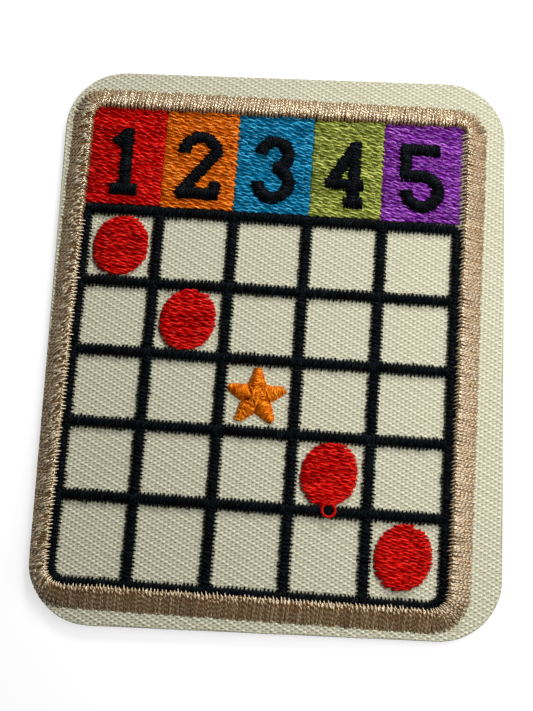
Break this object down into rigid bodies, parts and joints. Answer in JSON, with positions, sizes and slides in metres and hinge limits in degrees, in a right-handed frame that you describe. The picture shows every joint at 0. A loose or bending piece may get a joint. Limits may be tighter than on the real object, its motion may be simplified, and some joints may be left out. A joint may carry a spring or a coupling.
{
  "type": "bingo card",
  "caption": "Embroidered iron-on bingo card patch: cut twill sheet with a raised satin border, coloured header blocks with numerals, a ruled grid, round markers and a star.",
  "frame": {"origin": "centre of the sheet's back face, which is the outer face of the iron-on film", "axes": "+X to the right across the card as it is read, +Y towards the coloured header, +Z out of the stitched face"},
  "size_m": [0.0508, 0.0636, 0.0019],
  "materials": {
    "film": "satin",
    "bobbin": "satin",
    "backing": "matte",
    "cloth": "matte",
    "tan_thread": "satin",
    "red_thread": "satin",
    "orange_thread": "satin",
    "blue_thread": "satin",
    "green_thread": "satin",
    "purple_thread": "satin",
    "black_thread": "satin"
  },
  "bodies": {
    "root": {"heat_seal_film": "film", "bobbin_thread": "bobbin", "stabiliser": "backing", "twill_ground": "cloth", "border_underlay": "tan_thread", "border_satin": "tan_thread", "header_fill_red": "red_thread", "header_fill_orange": "orange_thread", "header_fill_blue": "blue_thread", "header_fill_green": "green_thread", "header_fill_purple": "purple_thread", "numeral_one": "black_thread", "numeral_two": "black_thread", "numeral_three": "black_thread", "numeral_four": "black_thread", "numeral_five": "black_thread", "grid_frame": "black_thread", "grid_column_1": "black_thread", "grid_row_1": "black_thread", "grid_column_2": "black_thread", "grid_row_2": "black_thread", "grid_column_3": "black_thread", "grid_row_3": "black_thread", "grid_column_4": "black_thread", "grid_row_4": "black_thread", "marker_dot_1": "red_thread", "marker_dot_2": "red_thread", "marker_dot_3": "red_thread", "marker_dot_4": "red_thread", "free_space_star": "orange_thread", "thread_loop": "red_thread"}
  },
  "joints": []
}
